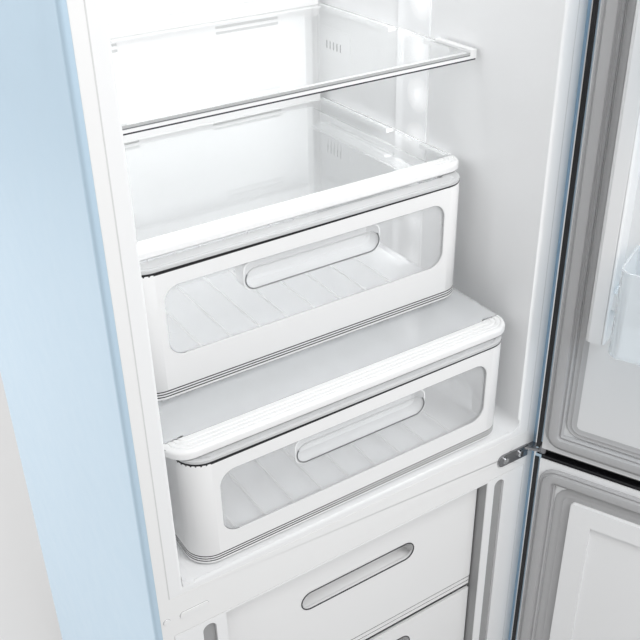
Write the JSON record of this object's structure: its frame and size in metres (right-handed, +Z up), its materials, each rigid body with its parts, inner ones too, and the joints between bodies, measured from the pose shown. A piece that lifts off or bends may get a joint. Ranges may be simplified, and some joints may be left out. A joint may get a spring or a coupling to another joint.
{
  "type": "bottom freezer refrigerator",
  "caption": "Tall two-door refrigerator with rounded doors standing open, glass shelves and crispers above a mullion, and a drawer freezer below.",
  "frame": {"origin": "centre of the cabinet's footprint, on the floor", "axes": "+Z up, -Y out of the door side, +X towards the hinges"},
  "size_m": [0.9182, 1.1353, 1.9684],
  "materials": {
    "pastel_blue_paint": "satin baked enamel",
    "white_steel": "satin baked enamel",
    "liner_white": "vacuum-formed polystyrene, soft gloss",
    "trim_white": "moulded, soft gloss",
    "clear_plastic": "clear moulded polystyrene",
    "shelf_glass": "toughened glass",
    "light_cover": "translucent diffuser",
    "seal_grey": "soft PVC seal",
    "black_plastic": "moulded, satin",
    "chrome": "polished chrome",
    "hinge_steel": "nickel-plated steel",
    "foam": "rigid polyurethane foam",
    "galvanised": "galvanised sheet",
    "black_steel": "black enamel",
    "fin_aluminium": "mill finish",
    "foot_plastic": "moulded nylon"
  },
  "bodies": {
    "cabinet": {"air_duct_cover": "liner_white", "base_tray": "black_steel", "compressor": "black_steel", "condenser": "black_steel", "control_panel": "liner_white", "evaporator": "fin_aluminium", "freezer_back_cover": "liner_white", "freezer_liner": "liner_white", "fridge_liner": "liner_white", "front_feet": "foot_plastic", "front_frame": "white_steel", "hinge_bottom": "hinge_steel", "hinge_middle": "hinge_steel", "hinge_screws": "hinge_steel", "hinge_top": "hinge_steel", "insulation": "foam", "led_covers": "light_cover", "mullion_plugs": "trim_white", "power_inlet": "black_plastic", "rear_panel": "galvanised", "shelf_crisper_glass": "shelf_glass", "shelf_crisper_trims": "trim_white", "side_panel_left": "pastel_blue_paint", "side_panel_right": "pastel_blue_paint", "top_panel": "pastel_blue_paint"},
    "fridge_door": {"fridge_door_skin": "pastel_blue_paint", "fridge_door_caps": "black_plastic", "fridge_door_core": "foam", "fridge_door_liner": "liner_white", "fridge_door_gasket": "seal_grey", "fridge_door_handle": "chrome"},
    "freezer_door": {"freezer_door_skin": "pastel_blue_paint", "freezer_door_caps": "black_plastic", "freezer_door_core": "foam", "freezer_door_liner": "liner_white", "freezer_door_gasket": "seal_grey", "freezer_door_handle": "chrome"},
    "door_bin_lower": {"door_bin_lower": "clear_plastic"},
    "door_bin_middle": {"door_bin_middle": "clear_plastic"},
    "door_bin_upper": {"door_bin_upper": "clear_plastic"},
    "crisper_upper": {"crisper_upper_bin": "clear_plastic", "crisper_upper_front": "trim_white"},
    "crisper_lower": {"crisper_lower_bin": "clear_plastic", "crisper_lower_front": "trim_white", "crisper_lower_lid_glass": "shelf_glass", "crisper_lower_lid_trim": "trim_white"},
    "freezer_drawer_top": {"freezer_drawer_top_bin": "clear_plastic", "freezer_drawer_top_front": "trim_white"},
    "freezer_drawer_middle": {"freezer_drawer_middle_bin": "clear_plastic", "freezer_drawer_middle_front": "trim_white"},
    "freezer_drawer_bottom": {"freezer_drawer_bottom_bin": "clear_plastic", "freezer_drawer_bottom_front": "trim_white"},
    "shelf_middle": {"shelf_middle_glass": "shelf_glass", "shelf_middle_trims": "trim_white"},
    "shelf_top": {"shelf_top_glass": "shelf_glass", "shelf_top_trims": "trim_white"},
    "thermostat_dial": {"thermostat_dial": "trim_white"},
    "rear_roller_left": {"rear_roller_left": "foot_plastic"},
    "rear_roller_right": {"rear_roller_right": "foot_plastic"},
    "evaporator_fan": {"evaporator_fan": "black_plastic"}
  },
  "joints": [
    {"name": "fridge_door_hinge", "type": "hinge", "parent": "cabinet", "child": "fridge_door", "pos_m": [0.292, -0.31, 1.3], "axis": [0, 0, 1], "range_deg": [-115, 15]},
    {"name": "freezer_door_hinge", "type": "hinge", "parent": "cabinet", "child": "freezer_door", "pos_m": [0.292, -0.31, 0.38], "axis": [0, 0, 1], "range_deg": [-115, 15]},
    {"name": "crisper_upper_slide", "type": "slide", "parent": "cabinet", "child": "crisper_upper", "axis": [0, -1, 0], "range_m": [0, 0.25]},
    {"name": "crisper_lower_slide", "type": "slide", "parent": "cabinet", "child": "crisper_lower", "axis": [0, -1, 0], "range_m": [-0.101, 0.15]},
    {"name": "freezer_drawer_top_slide", "type": "slide", "parent": "cabinet", "child": "freezer_drawer_top", "axis": [0, -1, 0], "range_m": [0, 0.28]},
    {"name": "freezer_drawer_middle_slide", "type": "slide", "parent": "cabinet", "child": "freezer_drawer_middle", "axis": [0, -1, 0], "range_m": [0, 0.28]},
    {"name": "freezer_drawer_bottom_slide", "type": "slide", "parent": "cabinet", "child": "freezer_drawer_bottom", "axis": [0, -1, 0], "range_m": [0, 0.23]},
    {"name": "shelf_middle_slide", "type": "slide", "parent": "cabinet", "child": "shelf_middle", "axis": [0, -1, 0], "range_m": [0, 0.24]},
    {"name": "shelf_top_slide", "type": "slide", "parent": "cabinet", "child": "shelf_top", "axis": [0, -1, 0], "range_m": [0, 0.24]},
    {"name": "door_bin_lower_lift", "type": "slide", "parent": "fridge_door", "child": "door_bin_lower", "axis": [0, 0, 1], "range_m": [0, 0.04]},
    {"name": "door_bin_middle_lift", "type": "slide", "parent": "fridge_door", "child": "door_bin_middle", "axis": [0, 0, 1], "range_m": [0, 0.04]},
    {"name": "door_bin_upper_lift", "type": "slide", "parent": "fridge_door", "child": "door_bin_upper", "axis": [0, 0, 1], "range_m": [0, 0.04]},
    {"name": "thermostat_dial_turn", "type": "hinge", "parent": "cabinet", "child": "thermostat_dial", "pos_m": [0.07, -0.22, 1.873], "axis": [0, -1, 0], "range_deg": [0, 270]},
    {"name": "rear_roller_left_spin", "type": "hinge", "parent": "cabinet", "child": "rear_roller_left", "pos_m": [-0.24, 0.235, 0.014], "axis": [1, 0, 0], "continuous": true},
    {"name": "rear_roller_right_spin", "type": "hinge", "parent": "cabinet", "child": "rear_roller_right", "pos_m": [0.24, 0.235, 0.014], "axis": [1, 0, 0], "continuous": true},
    {"name": "evaporator_fan_spin", "type": "hinge", "parent": "cabinet", "child": "evaporator_fan", "pos_m": [0, 0.16, 0.56], "axis": [0, 1, 0], "continuous": true}
  ]
}
